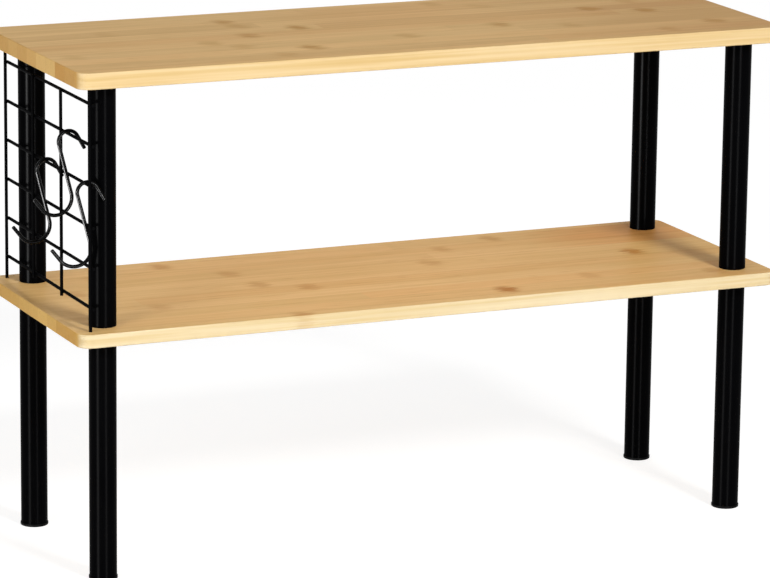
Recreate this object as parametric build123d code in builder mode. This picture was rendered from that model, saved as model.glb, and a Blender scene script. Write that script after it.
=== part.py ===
from build123d import *
from math import cos, hypot, radians, sin
import os

# A two-tier kitchen shelf: two bamboo boards on tube legs, a wire grid at the left end and three S-hooks.
# Lengths are millimetres. The origin is on the floor, in the middle of the four feet.
# X runs along the boards, with the grid at the -X end, Y runs to the back and Z up.

# Boards
board_length = 700.0
board_depth = 250.0
board_corner_radius = 12.0
board_edge_radius = 1.0
upper_board_thickness = 15.0
lower_board_thickness = 12.5

# Leg tubes
tube_diameter = 25.0
tube_wall = 1.2
tube_edge_radius = 0.3
upper_tube_length = 220.0
lower_tube_length = 220.0
leg_inset = 32.0  # from a board's edge to a leg's axis

# Foot caps, pushed into the lower ends of the lower tubes
foot_rim_height = 2.5
foot_rim_overhang = 0.6  # how far the rim stands out past the tube
foot_rim_edge_radius = 0.8
foot_sleeve_length = 14.0
foot_sleeve_wall = 2.0
foot_sole_recess_radius = 8.0
foot_sole_recess_depth = 0.6

# Threaded plugs, pressed flush into the tube ends that meet a board
plug_length = 18.0
plug_groove_depth = 0.8
plug_groove_width = 2.0
plug_groove_spacing = 5.0
plug_fit = 0.05  # between a plug and its tube, all round

# Threaded studs and the inserts that they screw into
stud_diameter = 8.0
stud_end_chamfer = 0.8
stud_fit = 0.05  # between a stud and its thread, all round
stud_setback = 3.0  # from a stud's end to the far end of its plug
board_stud_hole_diameter = 9.0
insert_diameter = 12.0
insert_flange_diameter = 16.0
insert_flange_thickness = 1.2
insert_fit = 0.05  # between an insert and the wood, all round
insert_cover = 3.8  # wood left between an insert's hole and the upper board's top
insert_stud_gap = 1.0  # from the stud's end to the bottom of the hole

# Wire grid at the left end
grid_wire_diameter = 3.0
grid_width = 225.0  # between the axes of the outer uprights
grid_upright_count = 4
grid_rung_count = 6
grid_leg_gap = 1.9  # from a rung to the leg tubes
grid_weld_depth = 0.4  # how far an upright sinks into a rung at a weld
grid_top_gap = 16.0  # from the upper board to the top rung's axis
grid_bottom_gap = 20.0  # from the lower board to the bottom rung's axis
grid_socket_depth = 6.0  # how far the outer uprights reach into each board
grid_socket_fit = 0.1  # between an upright and its hole, all round
grid_socket_end_gap = 0.3  # from an outer upright's end to the bottom of its hole
grid_foot_overhang = 3.5  # how far the inner uprights pass the bottom rung's axis

# S-hooks
hook_wire_diameter = 3.4
hook_end_radius = 0.7
hook_top_radius = 9.5  # radii are of the wire's centreline
hook_bottom_radius = 15.4
hook_stem_length = 46.5
hook_top_opening = 15.0  # degrees between the upper end and the stem
hook_bottom_opening = 24.0  # degrees between the lower end and the stem
hook_top_end_length = 14.0
hook_bottom_end_length = 12.8
hook_seat_angle = 31.0  # degrees from the top of the upper bend to where it sits on its rung
hook_clearance = 0.3  # from a hanging hook to what it sits on or leans against
hook_1_from_upright = 18.0  # in front of the inner upright nearer the front
hook_2_from_middle = 2.8  # behind the middle of the grid
hook_3_turn = 10.0  # degrees about Z, which takes its upper end past the front left leg

# Sizes that follow from the ones above
tube_radius = tube_diameter / 2
tube_bore_radius = tube_radius - tube_wall
stud_radius = stud_diameter / 2
leg_x = board_length / 2 - leg_inset
leg_y = board_depth / 2 - leg_inset
lower_tube_bottom = foot_rim_height
lower_board_bottom = lower_tube_bottom + lower_tube_length
lower_board_top = lower_board_bottom + lower_board_thickness
upper_board_bottom = lower_board_top + upper_tube_length
insert_hole_depth = upper_board_thickness - insert_cover
stud_reach = plug_length - stud_setback
top_stud_end = upper_board_bottom + insert_hole_depth - insert_stud_gap
corners = {
    "front_left": (-leg_x, -leg_y),
    "front_right": (leg_x, -leg_y),
    "back_left": (-leg_x, leg_y),
    "back_right": (leg_x, leg_y),
}
wire_radius = grid_wire_diameter / 2
rung_x = -leg_x - tube_radius - grid_leg_gap - wire_radius
upright_x = rung_x - grid_wire_diameter + grid_weld_depth
upright_pitch = grid_width / (grid_upright_count - 1)
upright_ys = [i * upright_pitch - grid_width / 2 for i in range(grid_upright_count)]
rung_pitch = (upper_tube_length - grid_top_gap - grid_bottom_gap) / (grid_rung_count - 1)
rung_zs = [upper_board_bottom - grid_top_gap - i * rung_pitch for i in range(grid_rung_count)]
outer_uprights = [upright_ys[0], upright_ys[-1]]
hook_radius = hook_wire_diameter / 2
hook_stand_off = wire_radius + hook_radius + hook_clearance

os.makedirs("parts", exist_ok=True)


def save(name, piece):
    piece.label = name
    export_step(piece, f"parts/{name}.step")


def board_blank(bottom, thickness):
    """A rounded board with eased edges, its underside at the given height."""
    with BuildPart() as blank:
        with BuildSketch(Plane.XY.offset(bottom)):
            RectangleRounded(board_length, board_depth, board_corner_radius)
        extrude(amount=thickness)
        rims = blank.faces().filter_by(Axis.Z).edges()
        fillet(rims, min(board_edge_radius, thickness / 3))
    return blank.part


def make_lower_board():
    with BuildPart() as board:
        add(board_blank(lower_board_bottom, lower_board_thickness))
        with BuildSketch(Plane.XY.offset(lower_board_bottom)):
            with Locations(*corners.values()):
                Circle(board_stud_hole_diameter / 2)
        extrude(amount=lower_board_thickness, mode=Mode.SUBTRACT)
        with BuildSketch(Plane.XY.offset(lower_board_top)):
            with Locations(*[(upright_x, y) for y in outer_uprights]):
                Circle(wire_radius + grid_socket_fit)
        extrude(amount=-grid_socket_depth - grid_socket_end_gap, mode=Mode.SUBTRACT)
    return board.part


def make_upper_board():
    with BuildPart() as board:
        add(board_blank(upper_board_bottom, upper_board_thickness))
        with BuildSketch(Plane.XY.offset(upper_board_bottom)):
            with Locations(*corners.values()):
                Circle(insert_diameter / 2 + insert_fit)
        extrude(amount=insert_hole_depth, mode=Mode.SUBTRACT)
        with BuildSketch(Plane.XY.offset(upper_board_bottom)):
            with Locations(*corners.values()):
                Circle(insert_flange_diameter / 2 + insert_fit)
        extrude(amount=insert_flange_thickness, mode=Mode.SUBTRACT)
        with BuildSketch(Plane.XY.offset(upper_board_bottom)):
            with Locations(*[(upright_x, y) for y in outer_uprights]):
                Circle(wire_radius + grid_socket_fit)
        extrude(amount=grid_socket_depth + grid_socket_end_gap, mode=Mode.SUBTRACT)
    return board.part


def make_tube(x, y, bottom, length):
    with BuildPart() as tube:
        with BuildSketch(Plane((x, y, bottom))):
            Circle(tube_radius)
            Circle(tube_bore_radius, mode=Mode.SUBTRACT)
        extrude(amount=length)
        outer_rims = tube.edges().filter_by(GeomType.CIRCLE).sort_by(SortBy.RADIUS)[-2:]
        fillet(outer_rims, tube_edge_radius)
    return tube.part


def make_foot_cap(x, y):
    """A plastic cap: a rim that the tube stands on, over a hollow sleeve that grips its bore."""
    sleeve_radius = tube_bore_radius - plug_fit
    rim_radius = tube_radius + foot_rim_overhang
    with BuildPart() as cap:
        with BuildSketch(Plane((x, y, 0))):
            Circle(rim_radius)
        extrude(amount=foot_rim_height)
        ground_edge = cap.edges().sort_by(Axis.Z)[0]
        fillet(ground_edge, foot_rim_edge_radius)
        with BuildSketch(Plane((x, y, foot_rim_height))):
            Circle(sleeve_radius)
            Circle(sleeve_radius - foot_sleeve_wall, mode=Mode.SUBTRACT)
        extrude(amount=foot_sleeve_length)
        with BuildSketch(Plane((x, y, 0))):
            Circle(foot_sole_recess_radius)
        extrude(amount=foot_sole_recess_depth, mode=Mode.SUBTRACT)
    return cap.part


def make_plug(x, y, bottom):
    """A threaded plug with grip grooves round it; its thread is a plain bore here."""
    plug_radius = tube_bore_radius - plug_fit
    groove_count = int((plug_length - plug_groove_width) // plug_groove_spacing)
    first_groove = (plug_length - (groove_count - 1) * plug_groove_spacing) / 2
    with BuildPart() as plug:
        with BuildSketch(Plane((x, y, bottom))):
            Circle(plug_radius)
            Circle(stud_radius + stud_fit, mode=Mode.SUBTRACT)
        extrude(amount=plug_length)
        for i in range(groove_count):
            groove_bottom = bottom + first_groove + i * plug_groove_spacing - plug_groove_width / 2
            with BuildSketch(Plane((x, y, groove_bottom))):
                Circle(plug_radius)
                Circle(plug_radius - plug_groove_depth, mode=Mode.SUBTRACT)
            extrude(amount=plug_groove_width, mode=Mode.SUBTRACT)
    return plug.part


def make_stud(x, y, bottom, top):
    with BuildPart() as stud:
        with BuildSketch(Plane((x, y, bottom))):
            Circle(stud_radius)
        extrude(amount=top - bottom)
        chamfer(stud.edges().filter_by(GeomType.CIRCLE), stud_end_chamfer)
    return stud.part


def make_insert(x, y):
    """A flanged insert with a thread inside, let into the upper board's underside."""
    with BuildPart() as insert:
        with BuildSketch(Plane((x, y, upper_board_bottom))):
            Circle(insert_diameter / 2)
        extrude(amount=insert_hole_depth - insert_fit)
        with BuildSketch(Plane((x, y, upper_board_bottom))):
            Circle(insert_flange_diameter / 2)
        extrude(amount=insert_flange_thickness - insert_fit)
        with BuildSketch(Plane((x, y, upper_board_bottom))):
            Circle(stud_radius + stud_fit)
        extrude(amount=insert_hole_depth, mode=Mode.SUBTRACT)
    return insert.part


def make_upright(y):
    """An upright wire: the outer ones end inside the boards, the inner ones just past the end rungs."""
    if y in outer_uprights:
        bottom = lower_board_top - grid_socket_depth
        top = upper_board_bottom + grid_socket_depth
    else:
        bottom = rung_zs[-1] - grid_foot_overhang
        top = rung_zs[0] + wire_radius
    with BuildPart() as upright:
        with BuildSketch(Plane((upright_x, y, bottom))):
            Circle(wire_radius)
        extrude(amount=top - bottom)
    return upright.part


def make_rung(z):
    """A rung behind the uprights, hollowed where each upright is welded into it."""
    half_length = grid_width / 2 + wire_radius
    across = Plane(origin=(rung_x, -half_length, z), x_dir=(1, 0, 0), z_dir=(0, 1, 0))
    with BuildPart() as rung:
        with BuildSketch(across):
            Circle(wire_radius)
        extrude(amount=2 * half_length)
        with BuildSketch(Plane.XY.offset(z - grid_wire_diameter)):
            with Locations(*[(upright_x, y) for y in upright_ys]):
                Circle(wire_radius)
        extrude(amount=2 * grid_wire_diameter, mode=Mode.SUBTRACT)
    return rung.part


def hook_centreline():
    """The S of a hook in the XY plane, its stem down -Y, with the rung's axis through the origin."""
    seat_reach = hook_top_radius - hook_stand_off
    seat_turn = radians(hook_seat_angle)
    bend_centre = Vector(-seat_reach * sin(seat_turn), -seat_reach * cos(seat_turn))
    opening = radians(hook_top_opening)
    outward = Vector(sin(opening), -cos(opening))
    bend_start = bend_centre + Vector(cos(opening), sin(opening)) * hook_top_radius
    with BuildLine() as centreline:
        upper_end = Line(bend_start + outward * hook_top_end_length, bend_start)
        upper_bend = JernArc(upper_end @ 1, -outward, hook_top_radius, 180 - hook_top_opening)
        stem = Line(upper_bend @ 1, upper_bend @ 1 - Vector(0, hook_stem_length))
        lower_bend = JernArc(stem @ 1, (0, -1), hook_bottom_radius, hook_bottom_opening - 180)
        PolarLine(lower_bend @ 1, hook_bottom_end_length, 90 + hook_bottom_opening)
    return Wire(centreline.edges())


def clear_of_rungs(points, lean):
    """Whether a hook that leans so many degrees stays clear of each rung below its own."""
    turn = radians(lean)
    for point in points:
        across = point.X * cos(turn) - point.Y * sin(turn)
        up = point.X * sin(turn) + point.Y * cos(turn)
        for i in range(1, grid_rung_count):
            if hypot(across, up + i * rung_pitch) < hook_stand_off:
                return False
    return True


def resting_lean():
    """The lean at which a hook, swung in from outside, meets a rung below its own."""
    outline = hook_centreline()
    points = [outline @ (i / 200) for i in range(201)]
    step = 0.05
    lean = 0.0
    while clear_of_rungs(points, lean + step) and lean < 45:
        lean += step
    return lean


def make_hook(y, rung, lean, turn):
    """An S-hook that hangs on a rung, leaning by its angle and turned about the vertical."""
    up = Vector(0, 0, 1)
    inward = Vector(cos(radians(turn)), -sin(radians(turn)))
    leaning_x = inward * cos(radians(lean)) + up * sin(radians(lean))
    hook_plane = Plane((rung_x, y, rung_zs[rung]), x_dir=leaning_x, z_dir=inward.cross(up))
    path = hook_plane.from_local_coords(hook_centreline())
    with BuildPart() as hook:
        with BuildSketch(Plane(origin=path @ 0, z_dir=path % 0)):
            Circle(hook_radius)
        sweep(path=path)
        fillet(hook.faces().filter_by(GeomType.PLANE).edges(), hook_end_radius)
    return hook.part


save("lower_board", make_lower_board())
save("upper_board", make_upper_board())

for corner, (x, y) in corners.items():
    save(f"foot_cap_{corner}", make_foot_cap(x, y))
    save(f"lower_leg_{corner}", make_tube(x, y, lower_tube_bottom, lower_tube_length))
    save(f"upper_leg_{corner}", make_tube(x, y, lower_board_top, upper_tube_length))
    save(f"lower_leg_plug_{corner}", make_plug(x, y, lower_board_bottom - plug_length))
    save(f"upper_leg_bottom_plug_{corner}", make_plug(x, y, lower_board_top))
    save(f"upper_leg_top_plug_{corner}", make_plug(x, y, upper_board_bottom - plug_length))
    through_stud = make_stud(x, y, lower_board_bottom - stud_reach, lower_board_top + stud_reach)
    save(f"through_stud_{corner}", through_stud)
    save(f"top_stud_{corner}", make_stud(x, y, upper_board_bottom - stud_reach, top_stud_end))
    save(f"board_insert_{corner}", make_insert(x, y))

for i, y in enumerate(upright_ys):
    save(f"grid_upright_{i + 1}", make_upright(y))
for i, z in enumerate(rung_zs):
    save(f"grid_rung_{i + 1}", make_rung(z))

# The third hook's plane stands clear of the front left leg, which it passes on the front.
hook_lean = resting_lean()
hook_3_turned = radians(hook_3_turn)
leg_stand_off = tube_radius + hook_radius + hook_clearance
rung_to_leg = -leg_x - rung_x
hook_3_y = -leg_y - (leg_stand_off - rung_to_leg * sin(hook_3_turned)) / cos(hook_3_turned)
hook_1_y = upright_ys[1] - hook_1_from_upright
save("hook_1", make_hook(hook_1_y, 1, hook_lean, 0))
save("hook_2", make_hook(hook_2_from_middle, 2, hook_lean, 0))
save("hook_3", make_hook(hook_3_y, 2, hook_lean, hook_3_turn))

print("upright x", round(upright_x, 3), "rung x", round(rung_x, 3))
print("rung heights", [round(z, 2) for z in rung_zs])
print("hook lean", round(hook_lean, 2), "hook y", round(hook_1_y, 2), hook_2_from_middle, round(hook_3_y, 2))
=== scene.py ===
"""The looks of the kitchen shelf: lacquered bamboo, black tubes, a welded wire grid and S-hooks.

Everything is in metres, in the part's frame: X along the boards, Y to the back, Z up from the worktop.
"""

import math

import bmesh
import bpy
from mathutils import Matrix, Vector


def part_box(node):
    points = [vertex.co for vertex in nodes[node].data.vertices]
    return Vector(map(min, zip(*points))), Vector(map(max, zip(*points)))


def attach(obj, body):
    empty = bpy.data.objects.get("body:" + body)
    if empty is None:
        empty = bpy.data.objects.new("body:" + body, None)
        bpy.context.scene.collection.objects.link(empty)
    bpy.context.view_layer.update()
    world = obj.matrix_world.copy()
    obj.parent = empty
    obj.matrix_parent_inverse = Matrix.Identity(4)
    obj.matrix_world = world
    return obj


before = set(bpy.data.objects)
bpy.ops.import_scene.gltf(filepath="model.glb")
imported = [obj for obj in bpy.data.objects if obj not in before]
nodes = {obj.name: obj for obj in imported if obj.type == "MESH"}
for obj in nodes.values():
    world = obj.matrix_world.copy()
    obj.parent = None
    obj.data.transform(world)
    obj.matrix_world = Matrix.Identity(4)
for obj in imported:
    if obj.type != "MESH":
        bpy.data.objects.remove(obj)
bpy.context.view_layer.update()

MM = 0.001


def named(*starts):
    """The CAD nodes whose names begin with one of these words."""
    return [nodes[name] for name in sorted(nodes) if name.startswith(starts)]


def dress(objects, material):
    """Gives each object this material alone."""
    for thing in objects:
        thing.data.materials.clear()
        thing.data.materials.append(material)


def place_in_scene(name, data):
    """A new object for a mesh, lamp or camera."""
    thing = bpy.data.objects.new(name, data)
    bpy.context.scene.collection.objects.link(thing)
    return thing


def mesh_object(name, mesh):
    """A new object from a bmesh, which is used up. Its faces are sorted, so that each run is the same."""
    mesh.verts.index_update()
    corners = [corner.co[:] for corner in mesh.verts]
    faces = sorted([corner.index for corner in face.verts] for face in mesh.faces)
    mesh.free()
    data = bpy.data.meshes.new(name)
    data.from_pydata(corners, [], faces)
    return place_in_scene(name, data)


class Finish:
    """A material's nodes. Each method adds one and gives the output that the next one takes."""

    def __init__(self, name):
        self.material = bpy.data.materials.new(name)
        self.material.use_nodes = True
        self.tree = self.material.node_tree
        self.shader = self.tree.nodes["Principled BSDF"]
        coordinates = self.add("ShaderNodeTexCoord").outputs
        self.place = coordinates["Object"]
        self.facing = coordinates["Normal"]

    def put(self, socket, value):
        if isinstance(value, bpy.types.NodeSocket):
            self.tree.links.new(value, socket)
        else:
            socket.default_value = value

    def add(self, kind, values=(), **settings):
        node = self.tree.nodes.new(kind)
        for key, value in settings.items():
            setattr(node, key, value)
        for index, value in enumerate(values):
            self.put(node.inputs[index], value)
        return node

    def fill(self, node, **values):
        """Puts values in a node's inputs by their names, with underscores for spaces."""
        for key, value in values.items():
            self.put(node.inputs[key.replace("_", " ")], value)

    def surface(self, **values):
        self.fill(self.shader, **values)

    def maths(self, operation, *values, clamp=False):
        return self.add("ShaderNodeMath", values, operation=operation, use_clamp=clamp).outputs[0]

    def between(self, share, low, high):
        """Low where the share is 0, high where it is 1, and straight between them."""
        return self.maths("MULTIPLY_ADD", share, high - low, low)

    def sway(self, value, pattern, amount, clamp=False):
        """A value moved up and down by a pattern that lies about 0.5."""
        return self.maths("MULTIPLY_ADD", self.maths("SUBTRACT", pattern, 0.5), amount, value, clamp=clamp)

    def ramp(self, value, low, high, to_low=0.0, to_high=1.0):
        """A smooth step from to_low at low to to_high at high."""
        node = self.add("ShaderNodeMapRange", interpolation_type="SMOOTHSTEP")
        for index, number in enumerate([value, low, high, to_low, to_high]):
            self.put(node.inputs[index], number)
        return node.outputs[0]

    def split(self, vector):
        return self.add("ShaderNodeSeparateXYZ", [vector]).outputs[:3]

    def join(self, x, y, z=0.0):
        return self.add("ShaderNodeCombineXYZ", [x, y, z]).outputs[0]

    def stretch(self, x, y, z, vector=None):
        """A place with each axis multiplied, so that a pattern on it has about one feature per unit."""
        node = self.add("ShaderNodeVectorMath", [vector or self.place, (x, y, z)], operation="MULTIPLY")
        return node.outputs[0]

    def distance(self, first, second):
        return self.add("ShaderNodeVectorMath", [first, second], operation="DISTANCE").outputs["Value"]

    def noise(self, vector, detail=2.0, roughness=0.5):
        node = self.add("ShaderNodeTexNoise")
        self.fill(node, Vector=vector, Scale=1.0, Detail=detail, Roughness=roughness)
        return node.outputs["Fac"]

    def grain(self, fineness, detail=2.0):
        """A noise with about this many features per metre in every direction."""
        return self.noise(self.stretch(fineness, fineness, fineness), detail)

    def random(self, x, y=0.0, z=0.0):
        """A number from 0 to 1 that stays the same wherever x, y and z do."""
        node = self.add("ShaderNodeTexWhiteNoise", [self.join(x, y, z)], noise_dimensions="3D")
        return node.outputs["Value"]

    def mix(self, share, first, second, how="MIX"):
        node = self.add("ShaderNodeMix", data_type="RGBA", blend_type=how)
        for index, value in ((0, share), (6, first), (7, second)):
            self.put(node.inputs[index], value)
        return node.outputs[2]

    def bump(self, height, distance, strength=1.0):
        node = self.add("ShaderNodeBump")
        self.fill(node, Strength=strength, Distance=distance, Height=height)
        return node.outputs["Normal"]

    def glow(self, strength):
        """A shader that gives white light of its own."""
        return self.add("ShaderNodeEmission", [(1, 1, 1, 1), strength]).outputs[0]

    def blend(self, share, first, second):
        """Two shaders, of which the second has this share."""
        return self.add("ShaderNodeMixShader", [share, first, second]).outputs[0]

    def seen_share(self):
        """1 for what the camera, a reflection or a clear material sees, and 0 for light on its way."""
        path = self.add("ShaderNodeLightPath").outputs
        seen = self.maths("MAXIMUM", path["Is Camera Ray"], path["Is Glossy Ray"])
        return self.maths("MAXIMUM", seen, path["Is Transmission Ray"])


# Bamboo

STRIP_WIDTH = 25 * MM
STRIP_OFFSET = 2 * MM  # from the board's middle line to the middle of strip 0
STRIP_LENGTH = 0.62
STRIP_STAGGER = 7.3  # the most that a strip's start is shifted, in strip lengths
COUNT_FROM = 40  # what strip 0 counts as in the patterns, so that none is negative

# Patterns, in features per metre along the board, across it and through it
FIBRES = (11, 1300, 1300)
STREAKS = (5, 190, 190)
CLOUDS = (7, 24, 24)
FLECKS = (30, 560, 560)
LAYERS = (4, 40, 240)
PORES = (60, 1500, 1500)
RAGS = (45, 620, 620)

# What is added to a board's seed, so that each use draws its own numbers
CUT_DRAW = 0.25
TONE_DRAW = 0.5
STRAY_DRAW = 0.75

# How far each pattern moves a place from the light tone to the dark one
BASE_SHADE = 0.16
STRIP_SHADE = 0.34
FIBRE_SHADE = 0.7
STREAK_SHADE = 1.1
CLOUD_SHADE = 0.5

# Where each feature begins in its pattern and where it is whole, and how strongly it then shows
# The painted shade: the boards turn darker towards the right, where the light falls off.
FALLOFF_SHADE_RANGE = (0.08, 0.36)  # metres along the board
EDGE_FACING = (0.05, 0.6)
SPOT_REACH = (0.015, 0.065)  # metres from the spot, where its redness and painted shade are whole and where they end
SPOT_DRAWN = 0.45  # how much a metre along the board counts there beside one across it
STRAY_RANGE = (0.6, 1.0)
STRAY_WARMTH = 0.2
PAIR_SHARE = 0.6  # of a cut strip's tone that it has in common with its neighbour
CUT_RANGE = (0.2, 0.8)
CUT_STRENGTH = 0.75
FLECK_RANGE = (0.64, 0.76)
FLECK_STRENGTH = 0.3
LAYER_RANGE = (0.3, 0.72)
PORE_RANGE = (0.56, 0.68)
PORE_STRENGTH = 0.3
GLUE_RANGE = (0.483, 0.499)  # of a strip's width, from its middle
GLUE_STRENGTH = 0.2

# Colours of features that both boards share
# The warm tint is multiplied in; round the lower board's back-right leg it paints shade and reflection.
WARM_AND_SHADE_TINT = (0.93, 0.64, 0.42, 1)
PORE_BROWN = (0.36, 0.20, 0.07, 1)
GLUE_BROWN = (0.34, 0.17, 0.05, 1)

MARK_LENGTH = 14 * MM  # from its middle to an end
MARK_WIDTH = 18 * MM  # from its middle to a side
MARK_LEAN = 0.1  # how far along the board a mark runs for each step across its strip
MARK_DRAWN = 36 * MM  # the most that the fibres pull it out along the board
MARK_RANGE = (0.25, 1.0)  # of the way out from its middle, where it starts to fade and where it ends
MARK_ON_EDGES = 0.3  # how much of it shows on the long edges

# Nodes of the cane that show: the strip, the place along the board in mm, and how dark it is
UPPER_MARKS = (
    (3, -136, 0.6), (0, -139, 0.62), (-1, -186, 0.36), (-2, -166, 0.3), (1, -81, 0.76), (-3, -108, 0.75),
    (-4, -145, 0.28), (-2, -2, 0.38), (-1, 102, 0.6), (4, 89, 0.3), (1, 220, 0.75), (0, 267, 0.8),
    (-4, 242, 0.4), (-2, 164, 0.3), (2, 273, 0.35), (-2, -328, 0.25), (3, 128, 0.2), (2, -262, 0.2),
    (-3, 303, 0.65), (2, -130, 0.4),
)
LOWER_MARKS = (
    (0, -128, 0.38), (-1, -88, 0.38), (-5, -136, 0.5), (4, -188, 0.45), (2, -139, 0.35), (1, 58, 0.35),
    (-4, 79, 0.85), (4, 156, 0.4), (3, 92, 0.3), (0, 260, 0.7), (-3, 176, 0.25), (3, -262, 0.3),
    (-2, -246, 0.25), (1, -301, 0.3), (-4, 296, 0.35),
)

# The relief in the lacquer, beside that of the fibres, which is 1
GLUE_SUNK = 0.6
MARK_RAISED = 0.5
RELIEF = 0.03 * MM


class Bamboo(Finish):
    """Strips glued side by side, with fibres along X.

    The method strips comes first, and each of the others lays its feature over the colour so far.
    """

    def __init__(self, name, seed):
        super().__init__(name)
        self.seed = seed
        self.x, self.y, _ = self.split(self.place)
        facing_x, facing_y, _ = self.split(self.facing)
        self.on_end = self.maths("ABSOLUTE", facing_x)
        self.on_edge = self.ramp(self.maths("ABSOLUTE", facing_y), *EDGE_FACING)
        at_middle = COUNT_FROM + 0.5 - STRIP_OFFSET / STRIP_WIDTH
        self.across = self.maths("MULTIPLY_ADD", self.y, 1 / STRIP_WIDTH, at_middle)
        self.strip = self.maths("FLOOR", self.across)  # which strip a place lies in
        self.strip_random = self.random(self.strip, seed)
        along = self.maths("MULTIPLY", self.x, 1 / STRIP_LENGTH)
        along = self.maths("MULTIPLY_ADD", self.strip_random, STRIP_STAGGER, along)
        self.length = self.maths("FLOOR", along)  # which of the lengths that make up the strip
        self.fibre = self.noise(self.stretch(*FIBRES), detail=2.5, roughness=0.6)
        self.streak = self.noise(self.stretch(*STREAKS), detail=3, roughness=0.6)

    def lay(self, share, colour, how="MIX"):
        self.colour = self.mix(share, self.colour, colour, how)

    def strips(self, tones, painted_falloff):
        """Each strip has its own tone, and all get a painted shade towards the right."""
        tone = self.random(self.strip, self.length, self.seed + TONE_DRAW)
        cloud = self.noise(self.stretch(*CLOUDS))
        # Painted shade, darker towards the right.
        shade = self.ramp(self.x, *FALLOFF_SHADE_RANGE, BASE_SHADE, BASE_SHADE + painted_falloff)
        shade = self.maths("MULTIPLY_ADD", tone, STRIP_SHADE, shade)
        shade = self.sway(shade, self.fibre, FIBRE_SHADE)
        shade = self.sway(shade, self.streak, STREAK_SHADE)
        shade = self.sway(shade, cloud, CLOUD_SHADE, clamp=True)
        self.colour = self.mix(shade, *tones)

    def warm_lengths_and_shade(self, spot_x, spot_y, spot_strength):
        """Some strips turn redder for a length, most of all by the spot, painted shade and reflection on the
        lower board.
        """
        at_count_0 = STRIP_OFFSET - COUNT_FROM * STRIP_WIDTH
        middle_line = self.maths("MULTIPLY_ADD", self.strip, STRIP_WIDTH, at_count_0)
        here = self.join(self.maths("MULTIPLY", self.x, SPOT_DRAWN), middle_line)
        away = self.distance(here, (spot_x * SPOT_DRAWN, spot_y, 0))
        # On the lower board this spot is painted shade and reflection round the back-right leg's foot.
        redder_and_shaded = self.ramp(away, *SPOT_REACH, spot_strength, 0.0)
        stray = self.random(self.strip, self.length, self.seed + STRAY_DRAW)
        redder_and_shaded = self.maths("MAXIMUM", redder_and_shaded, self.ramp(stray, *STRAY_RANGE, 0.0, STRAY_WARMTH))
        self.lay(redder_and_shaded, WARM_AND_SHADE_TINT, "MULTIPLY")

    def cut_ends(self, tones):
        """Neighbouring strips differ more on the cut ends."""
        pair = self.random(self.maths("FLOOR", self.maths("MULTIPLY", self.strip, 0.5)), self.seed + CUT_DRAW)
        cut = self.maths("MULTIPLY", self.strip_random, 1 - PAIR_SHARE)
        cut = self.maths("MULTIPLY_ADD", pair, PAIR_SHARE, cut)
        cut = self.mix(self.ramp(cut, *CUT_RANGE), *tones)
        self.lay(self.maths("MULTIPLY", self.on_end, CUT_STRENGTH), cut)

    def flecks(self, tone):
        """Short dark fibres lie here and there."""
        fleck = self.noise(self.stretch(*FLECKS), detail=1)
        self.lay(self.ramp(fleck, *FLECK_RANGE, 0.0, FLECK_STRENGTH), tone)

    def long_edges(self, tones):
        """The long edges show the layers' own lines, and are paler as painted light from the front."""
        layer = self.noise(self.stretch(*LAYERS), detail=3, roughness=0.55)
        self.lay(self.on_edge, self.mix(self.ramp(layer, *LAYER_RANGE), *tones))

    def pores(self):
        """The pores of the end grain."""
        pores = self.noise(self.stretch(*PORES), detail=1)
        pores = self.maths("MULTIPLY", self.ramp(pores, *PORE_RANGE), self.on_end)
        self.lay(self.maths("MULTIPLY", pores, PORE_STRENGTH), PORE_BROWN)

    def glue_lines(self):
        """Thin dark lines between the strips, given back as a share."""
        line = self.maths("ABSOLUTE", self.maths("SUBTRACT", self.maths("FRACT", self.across), 0.5))
        line = self.maths("MULTIPLY", self.ramp(line, *GLUE_RANGE), self.maths("SUBTRACT", 1.0, self.on_edge))
        self.lay(self.maths("MULTIPLY", line, GLUE_STRENGTH), GLUE_BROWN)
        return line

    def marks(self, places, tone):
        """Soft brown bands that lean across their strips, given back as a share."""
        ragged = self.noise(self.stretch(*RAGS), detail=2.5, roughness=0.6)
        pulled = self.sway(self.x, ragged, MARK_DRAWN)
        pulled = self.maths("MULTIPLY_ADD", self.y, MARK_LEAN, pulled)
        here = self.stretch(1 / MARK_LENGTH, 1 / MARK_WIDTH, 0, self.join(pulled, self.y))
        mark = 0.0
        for strip, along, strength in places:
            across = strip * STRIP_WIDTH + STRIP_OFFSET
            middle = ((along * MM + MARK_LEAN * across) / MARK_LENGTH, across / MARK_WIDTH, 0)
            band = self.ramp(self.distance(here, middle), *MARK_RANGE, strength, 0.0)
            mark = self.maths("MAXIMUM", mark, band)
        mark = self.maths("MULTIPLY", mark, self.between(self.on_edge, 1.0, MARK_ON_EDGES))
        self.lay(mark, tone)
        return mark


def bamboo(name, seed, marks, painted_falloff, warm_and_shade_spot, tones, end_tones, painted_light_edge_tones, mark_tone):
    """A board's bamboo under a satin lacquer.

    The falloff is how much darker it is painted towards the right, a painted shade for light
    that falls off there. The warm spot is a place along and across the board, and how much redder
    and darker the strips are that pass it: a warm tone on the upper board, and on the lower one
    painted shade and reflection round the foot of the back-right leg. Each pair of tones has the
    light one first. The edge tones are paler than the top's, as painted light on the long edges.
    """
    f = Bamboo(name, seed)
    f.strips(tones, painted_falloff)
    f.warm_lengths_and_shade(*warm_and_shade_spot)
    f.cut_ends(end_tones)
    f.flecks(mark_tone)
    f.long_edges(painted_light_edge_tones)
    f.pores()
    glue = f.glue_lines()
    mark = f.marks(marks, mark_tone)
    height = f.maths("ADD", f.fibre, f.maths("MULTIPLY", mark, MARK_RAISED))
    height = f.maths("MULTIPLY_ADD", glue, -GLUE_SUNK, height)
    f.surface(
        Base_Color=f.colour,
        Roughness=f.between(f.streak, 0.43, 0.53),
        Specular_IOR_Level=0.04,
        Normal=f.bump(height, RELIEF, 0.5),
    )
    return f.material


# Coats, plastic and steel


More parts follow.
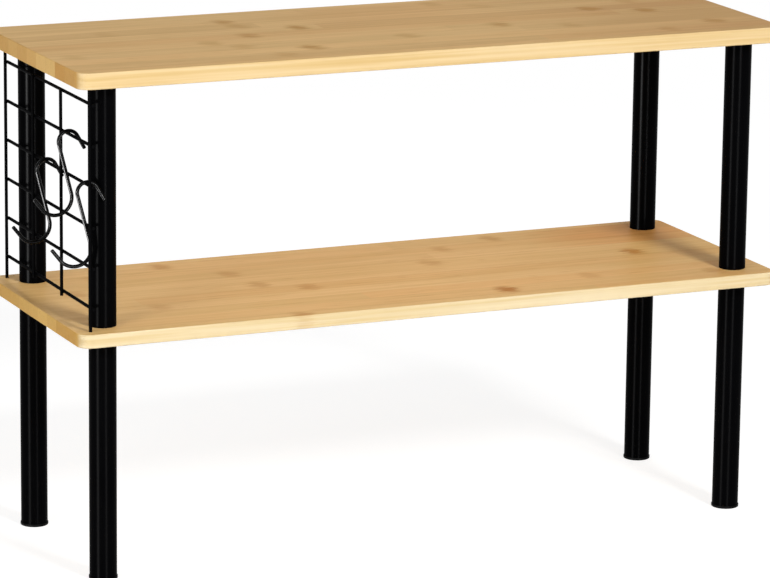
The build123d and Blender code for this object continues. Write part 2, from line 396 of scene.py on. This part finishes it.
def powder_coat(name, roughness, specular, drawn, peel):
    """Black coat with a slight orange peel. Drawn is how much its gloss is stretched along the tube."""
    f = Finish(name)
    wide = f.grain(14)
    f.surface(
        Base_Color=f.mix(wide, (0.0008, 0.0008, 0.001, 1), (0.002, 0.002, 0.0024, 1)),
        Roughness=f.between(wide, roughness - 0.04, roughness + 0.04),
        Anisotropic=drawn,
        Anisotropic_Rotation=0.25,
        Specular_IOR_Level=specular,
        Normal=f.bump(f.grain(700), peel, 0.6),
    )
    return f.material


def black_enamel(name):
    """Bright black enamel, a little wavy as it is on bent wire."""
    f = Finish(name)
    waves = f.grain(260)
    f.surface(
        Base_Color=f.mix(waves, (0.0008, 0.0008, 0.001, 1), (0.002, 0.002, 0.0023, 1)),
        Roughness=f.between(waves, 0.2, 0.3),
        Specular_IOR_Level=0.05,
        Normal=f.bump(waves, 0.1 * MM, 0.3),
    )
    return f.material


def moulded(name, tint, specular):
    """Black moulded plastic with a fine spark-eroded grain."""
    f = Finish(name)
    fine = f.grain(1800)
    f.surface(
        Base_Color=f.mix(f.grain(60), (tint, tint, tint, 1), (1.5 * tint, 1.5 * tint, 1.55 * tint, 1)),
        Roughness=f.between(fine, 0.42, 0.57),
        Specular_IOR_Level=specular,
        Normal=f.bump(fine, 0.04 * MM, 0.6),
    )
    return f.material


def zinc(name):
    """Zinc-plated steel, clouded and a little blue."""
    f = Finish(name)
    cloud = f.grain(160, detail=3)
    f.surface(
        Base_Color=f.mix(cloud, (0.50, 0.51, 0.53, 1), (0.70, 0.70, 0.68, 1)),
        Metallic=1.0,
        Roughness=f.between(cloud, 0.25, 0.47),
        Normal=f.bump(cloud, 0.03 * MM, 0.4),
    )
    return f.material


tube_finish = powder_coat("black_tube", roughness=0.35, specular=0.006, drawn=0.9, peel=0.01 * MM)
wire_finish = powder_coat("black_wire", roughness=0.45, specular=0.004, drawn=0.0, peel=0.02 * MM)
cap_finish = moulded("black_cap", tint=0.002, specular=0.03)
plug_finish = moulded("black_plug", tint=0.02, specular=0.3)
steel_finish = zinc("steel")
hook_finish = black_enamel("black_hook")

upper_bamboo = bamboo(
    # Its tones are painted darker to the right as shade.
    "bamboo_upper", 11.0, UPPER_MARKS, painted_falloff=0.75, warm_and_shade_spot=(0.03, 0.08, 0.25),
    tones=((0.78, 0.505, 0.205, 1), (0.575, 0.335, 0.115, 1)),
    end_tones=((0.78, 0.50, 0.17, 1), (0.55, 0.27, 0.05, 1)),
    # Paler than the top's tones: painted light from the front.
    painted_light_edge_tones=((0.765, 0.575, 0.31, 1), (0.675, 0.463, 0.193, 1)),
    mark_tone=(0.44, 0.205, 0.022, 1),
)
lower_bamboo = bamboo(
    # Its spot is painted shade and reflection round the foot of the back-right leg, and it too is painted
    # darker to the right.
    "bamboo_lower", 23.0, LOWER_MARKS, painted_falloff=0.4, warm_and_shade_spot=(0.30, 0.08, 0.7),
    tones=((0.88, 0.595, 0.262, 1), (0.68, 0.42, 0.143, 1)),
    end_tones=((0.74, 0.45, 0.11, 1), (0.52, 0.245, 0.02, 1)),
    # Paler than the upper board's edges: painted light against the upper board's shade.
    painted_light_edge_tones=((0.825, 0.68, 0.435, 1), (0.725, 0.55, 0.275, 1)),
    mark_tone=(0.45, 0.15, 0.0, 1),
)

dress(named("upper_board"), upper_bamboo)
dress(named("lower_board"), lower_bamboo)
dress([leg for leg in named("upper_leg", "lower_leg") if "plug" not in leg.name], tube_finish)
dress([plug for plug in named("upper_leg", "lower_leg") if "plug" in plug.name], plug_finish)
dress(named("foot_cap"), cap_finish)
dress(named("through_stud", "top_stud", "board_insert"), steel_finish)
dress(named("grid_"), wire_finish)
dress(named("hook_"), hook_finish)


# Weld beads, four where each upright lies in a rung

BEAD_WIDTH = 1.1 * MM
BEAD_SHAPE = (0.75, 1.25, 1.25, 1)  # how much flatter or wider than a ball along X, Y and Z
BEAD_OFFSET = 1.05  # mm from the middle of the crossing
BEADS_PER_CROSSING = 4
FIRST_BEAD = 45  # degrees
CROSSING_REACH = 2.6 * MM  # how far past an upright's end a rung still crosses it


def weld_beads():
    """The metal that a resistance weld squeezes out in the corners of each crossing."""
    mesh = bmesh.new()
    for upright in named("grid_upright"):
        low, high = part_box(upright.name)
        upright_centre = (low + high) / 2
        for rung in named("grid_rung"):
            rung_low, rung_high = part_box(rung.name)
            rung_centre = (rung_low + rung_high) / 2
            if not low.z - CROSSING_REACH < rung_centre.z < high.z + CROSSING_REACH:
                continue
            meeting = Vector(((high.x + rung_low.x) / 2, upright_centre.y, rung_centre.z))
            for turn in range(BEADS_PER_CROSSING):
                angle = math.radians(FIRST_BEAD + turn * 360 / BEADS_PER_CROSSING)
                out = Vector((0, math.cos(angle), math.sin(angle))) * BEAD_OFFSET * MM
                bead = bmesh.ops.create_uvsphere(mesh, u_segments=12, v_segments=8, radius=BEAD_WIDTH / 2)
                shaped = Matrix.Translation(meeting + out) @ Matrix.Diagonal(BEAD_SHAPE)
                bmesh.ops.transform(mesh, verts=bead["verts"], matrix=shaped)
    beads = mesh_object("grid_welds", mesh)
    for face in beads.data.polygons:
        face.use_smooth = True
    dress([beads], wire_finish)
    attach(beads, "shelf")


weld_beads()


# Floor, light and camera

FLOOR_RADIUS = 30.0
FLOOR_TONES = ((0.80, 0.80, 0.80, 1), (0.82, 0.82, 0.82, 1))
FLOOR_FADE = (0.9, 2.2)  # metres from the middle where the floor's shadows fade into white
FLOOR_LIFT = 0.55  # how much light it adds of its own where its shading shows
SHADOW_SHARE = 0.5  # of the floor's own shading that shows, over white
SKY_LEVEL = 0.28  # how strongly the sky lights the shelf, beside the white that is seen
MIDDLE = Vector((0, 0, 0.25))  # near the shelf's own, where the studio lamps aim


def floor():
    """A pale floor that keeps the shelf's shadow, runs out to plain white and is clear from below."""
    f = Finish("floor")
    f.surface(Base_Color=f.mix(f.grain(40), *FLOOR_TONES), Roughness=0.9, Specular_IOR_Level=0.0)
    x, y, _ = f.split(f.place)
    distance = f.maths("SQRT", f.maths("MULTIPLY_ADD", x, x, f.maths("MULTIPLY", y, y)))
    plain = f.ramp(distance, *FLOOR_FADE, 1 - SHADOW_SHARE, 1.0)
    shaded = f.shader.outputs[0]
    lifted = f.add("ShaderNodeAddShader", [shaded, f.glow(FLOOR_LIFT)]).outputs[0]
    shown = f.blend(plain, lifted, f.glow(1.0))
    below = f.add("ShaderNodeNewGeometry").outputs["Backfacing"]
    clear = f.add("ShaderNodeBsdfTransparent").outputs[0]
    shown = f.blend(below, shown, clear)
    result = f.blend(f.seen_share(), shaded, shown)
    f.put(f.tree.nodes["Material Output"].inputs["Surface"], result)

    mesh = bmesh.new()
    bmesh.ops.create_circle(mesh, cap_ends=True, segments=96, radius=FLOOR_RADIUS)
    ground = mesh_object("floor", mesh)
    dress([ground], f.material)


class Surroundings(Finish):
    """The world's nodes, which take the same helpers as a material's."""

    def __init__(self, name):
        self.world = bpy.data.worlds.new(name)
        self.world.use_nodes = True
        self.tree = self.world.node_tree
        self.shader = self.tree.nodes["Background"]


def surroundings(strength):
    """An even white sky that is seen as plain white, and lights the shelf at a lower strength."""
    f = Surroundings("surroundings")
    f.surface(Color=(1, 1, 1, 1), Strength=f.ramp(f.seen_share(), 0.0, 1.0, strength, 1.0))
    bpy.context.scene.world = f.world


def direction(azimuth, elevation):
    """Which way a place lies, in degrees. Azimuth 0 is straight in front, and less is to the left."""
    turn, lift = math.radians(azimuth), math.radians(elevation)
    return Vector((math.sin(turn) * math.cos(lift), -math.cos(turn) * math.cos(lift), math.sin(lift)))


def softbox(name, place, aim, size, level, lights=True, shines=True, only=()):
    """A soft rectangular lamp at a place, turned to the aim, which the camera doesn't see.

    At level 1 it lights a surface that faces it at the aim so that its colour renders as written.
    One that doesn't light gives only a highlight, one that doesn't shine gives none, and one with
    a list of objects does either for these alone.
    """
    away = Vector(place) - Vector(aim)
    lamp = bpy.data.lights.new(name, "AREA")
    lamp.shape = "RECTANGLE"
    lamp.size, lamp.size_y = size
    lamp.energy = level * (math.pi * away.length) ** 2
    holder = place_in_scene(name, lamp)
    holder.location = place
    holder.rotation_mode = "QUATERNION"
    holder.rotation_quaternion = away.to_track_quat("Z", "Y")
    holder.visible_camera = False
    holder.visible_diffuse = lights
    holder.visible_glossy = shines
    if only:
        lit = bpy.data.collections.new(name)
        for thing in only:
            lit.objects.link(thing)
        holder.light_linking.receiver_collection = lit


def studio_lamp(name, azimuth, elevation, distance, size, level):
    """A lamp that lights the shelf from afar and gives no highlight."""
    place = MIDDLE + direction(azimuth, elevation) * distance
    softbox(name, place, MIDDLE, size, level, shines=False)


def lamps():
    """Three lamps for the light, and four that only draw the streaks of light on tubes and hooks."""
    studio_lamp("key", 10, 31, 3.4, size=(0.65, 0.5), level=0.64)
    studio_lamp("left", -60, 16, 2.4, size=(1.0, 1.2), level=0.37)
    studio_lamp("back", 165, 12, 3.0, size=(1.4, 0.8), level=0.18)
    softbox("left_strip", (-2.3, -1.15, 0.12), (0, 0, 0.12), size=(0.5, 0.2), level=2.8, lights=False)
    softbox("front_strip", (-0.03, -2.58, 0.115), (0, 0, 0.115), size=(0.45, 0.21), level=1.7, lights=False)
    softbox("hook_strip", (-0.77, -0.06, 0.07), (-0.35, -0.05, 0.34), size=(0.34, 0.14), level=9,
            lights=False, only=named("hook_"))
    softbox("back_leg_strip", (-2.3, -1.0, 0.5), (0, 0, 0.35), size=(0.35, 0.4), level=7,
            lights=False, only=named("upper_leg_back"))


CAMERA_AIM = (-85.33 * MM, -189.0 * MM, 269.45 * MM)
CAMERA_DISTANCE = 3.9206
CAMERA_AZIMUTH = -24.074
CAMERA_ELEVATION = 13.311
CAMERA_ROLL = 0.681
CAMERA_LENS = 205.55  # mm, for a frame 36 mm wide


def camera():
    """A long lens, low in front of the shelf and round towards the grid."""
    data = bpy.data.cameras.new("camera")
    data.lens = CAMERA_LENS
    data.sensor_width = 36.0
    data.sensor_fit = "HORIZONTAL"
    data.clip_end = 100.0
    holder = place_in_scene("camera", data)
    out = direction(CAMERA_AZIMUTH, CAMERA_ELEVATION)
    level = out.to_track_quat("Z", "Y").to_matrix()
    rolled = level @ Matrix.Rotation(math.radians(CAMERA_ROLL), 3, "Z")
    holder.matrix_world = Matrix.Translation(Vector(CAMERA_AIM) + out * CAMERA_DISTANCE) @ rolled.to_4x4()
    bpy.context.scene.camera = holder


floor()
surroundings(SKY_LEVEL)
lamps()
camera()
bpy.context.scene.view_settings.view_transform = "Standard"
